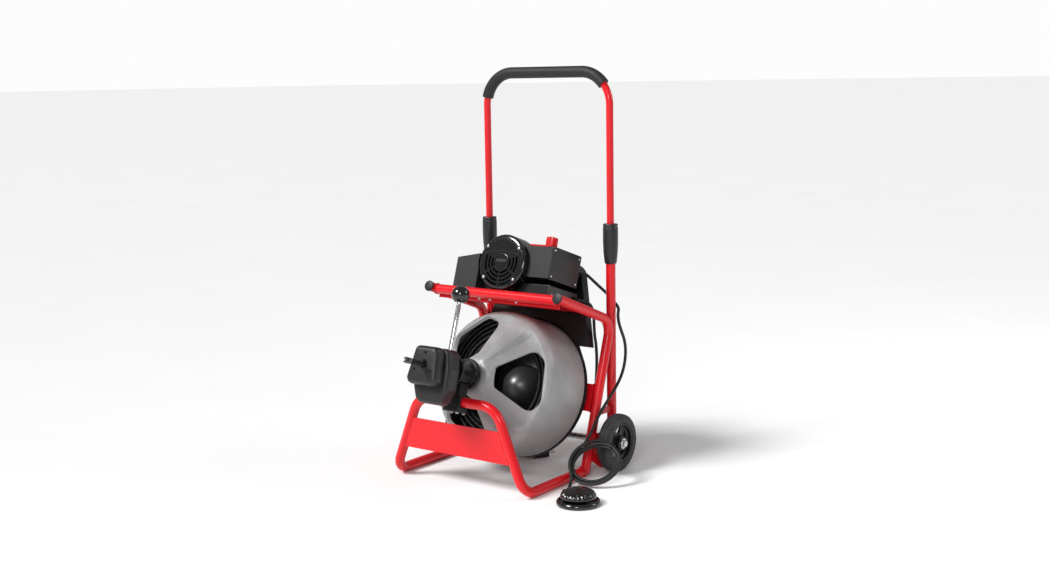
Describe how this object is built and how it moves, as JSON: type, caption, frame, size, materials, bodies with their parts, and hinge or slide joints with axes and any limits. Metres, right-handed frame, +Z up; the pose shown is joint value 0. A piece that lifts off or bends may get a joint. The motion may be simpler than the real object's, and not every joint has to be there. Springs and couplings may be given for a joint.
{
  "type": "drum drain cleaning machine",
  "caption": "Wheeled tube frame carrying a motor-driven drum of wound steel drain cable, with a lever-set cable feed, telescopic handle and air foot pedal.",
  "frame": {"origin": "on the floor, at the middle of the machine's box measured without its hose, pedal, mains cord and plug", "axes": "+Z up; +Y towards the back, away from the cable's mouth; +X towards the machine's right as seen from its front, the pedal's side"},
  "size_m": [0.6675, 0.7605, 1.0513],
  "materials": {
    "red_paint": "bright red powder coat, satin gloss",
    "drum_grey": "satin mid grey moulded plastic",
    "black_plastic": "satin black",
    "charcoal_plastic": "fine-textured dark grey",
    "gloss_black": "polished black",
    "black_paint": "satin black paint",
    "rubber": "matt black rubber",
    "foam": "matt black foam sleeve",
    "tyre": "ribbed grey-black rubber",
    "cable_steel": "oiled wound steel wire",
    "zinc": "bright zinc plate",
    "chrome": "polished",
    "red_plastic": "bright red moulded plastic"
  },
  "bodies": {
    "machine": {"front_arch": "red_paint", "left_upright": "red_paint", "right_upright": "red_paint", "front_panel": "red_paint", "front_crossbar": "red_paint", "motor_plate": "red_paint", "bearing_plate": "red_paint", "left_axle_bracket": "red_paint", "right_axle_bracket": "red_paint", "axle": "zinc", "left_rail_cap": "rubber", "right_rail_cap": "rubber", "left_post": "red_paint", "right_post": "red_paint", "guide_stand": "black_paint", "stand_clamp": "zinc", "feed_housing_rear": "charcoal_plastic", "feed_housing_front": "charcoal_plastic", "roller_carrier": "zinc", "drive_belt": "rubber", "belt_guard": "black_plastic", "motor_body": "black_paint", "fan_guard": "black_plastic", "control_box": "charcoal_plastic", "control_box_cover": "black_plastic", "switch_plate": "red_plastic", "capacitor_box": "charcoal_plastic", "hose_gland": "black_plastic", "cord_gland": "black_plastic", "air_hose": "rubber", "pedal_hose": "rubber", "hose_coil": "rubber", "pedal_base": "gloss_black", "power_cord": "rubber", "power_plug": "black_plastic"},
    "drum": {"drum_front_shell": "drum_grey", "drum_rear_shell": "black_plastic", "inner_drum": "gloss_black", "cable_coil": "cable_steel", "drum_shaft": "zinc", "cable_end": "cable_steel"},
    "motor_rotor": {"motor_shaft": "zinc", "motor_pulley": "zinc", "cooling_fan": "black_plastic"},
    "left_wheel": {"left_tyre": "tyre", "left_rim": "black_plastic"},
    "right_wheel": {"right_tyre": "tyre", "right_rim": "black_plastic"},
    "handle": {"handle_bow": "red_paint", "handle_grip": "foam"},
    "left_collar": {"left_post_collar": "charcoal_plastic"},
    "right_collar": {"right_post_collar": "charcoal_plastic"},
    "lever": {"lever_yoke": "black_paint", "lever_rod": "chrome", "lever_knob": "gloss_black"},
    "roller_1": {"feed_roller_1": "cable_steel"},
    "roller_2": {"feed_roller_2": "cable_steel"},
    "roller_3": {"feed_roller_3": "cable_steel"},
    "switch": {"switch_knob": "red_plastic"},
    "pedal": {"pedal_dome": "gloss_black"}
  },
  "joints": [
    {"name": "drum_spin", "type": "hinge", "parent": "machine", "child": "drum", "pos_m": [0, 0.177, 0.201], "axis": [0, 0.9483, -0.3173], "continuous": true},
    {"name": "motor_spin", "type": "hinge", "parent": "machine", "child": "motor_rotor", "pos_m": [0, 0.27283, 0.48739], "axis": [0, 0.9483, -0.3173], "continuous": true},
    {"name": "left_wheel_spin", "type": "hinge", "parent": "machine", "child": "left_wheel", "pos_m": [-0.2545, 0.228, 0.076], "axis": [1, 0, 0], "continuous": true},
    {"name": "right_wheel_spin", "type": "hinge", "parent": "machine", "child": "right_wheel", "pos_m": [0.2545, 0.228, 0.076], "axis": [1, 0, 0], "continuous": true},
    {"name": "handle_slide", "type": "slide", "parent": "machine", "child": "handle", "axis": [0, 0, 1], "range_m": [-0.3, 0]},
    {"name": "left_collar_twist", "type": "hinge", "parent": "machine", "child": "left_collar", "pos_m": [-0.2, 0.2875, 0.59], "axis": [0, 0, 1], "range_deg": [0, 90]},
    {"name": "right_collar_twist", "type": "hinge", "parent": "machine", "child": "right_collar", "pos_m": [0.2, 0.2875, 0.59], "axis": [0, 0, 1], "range_deg": [0, 90]},
    {"name": "feed_lever_swing", "type": "hinge", "parent": "machine", "child": "lever", "pos_m": [0, -0.15112, 0.31079], "axis": [0, 0.9483, -0.3173], "range_deg": [-20, 20]},
    {"name": "roller_1_spin", "type": "hinge", "parent": "machine", "child": "roller_1", "pos_m": [0, -0.20016, 0.34702], "axis": [0, 0.9483, -0.3173], "continuous": true},
    {"name": "roller_2_spin", "type": "hinge", "parent": "machine", "child": "roller_2", "pos_m": [-0.01628, -0.20911, 0.32028], "axis": [0, 0.9483, -0.3173], "continuous": true},
    {"name": "roller_3_spin", "type": "hinge", "parent": "machine", "child": "roller_3", "pos_m": [0.01628, -0.20911, 0.32028], "axis": [0, 0.9483, -0.3173], "continuous": true},
    {"name": "switch_turn", "type": "hinge", "parent": "machine", "child": "switch", "pos_m": [0.115, 0.14331, 0.60455], "axis": [0, 0.3173, 0.9483], "range_deg": [-45, 45]},
    {"name": "pedal_press", "type": "slide", "parent": "machine", "child": "pedal", "axis": [0, 0, -1], "range_m": [0, 0.007], "stiffness_N_per_m": 900, "springref_m": -0.003}
  ],
  "couplings": [
    {"joint": "motor_spin", "follows": "drum_spin", "ratio": 6.58}
  ]
}
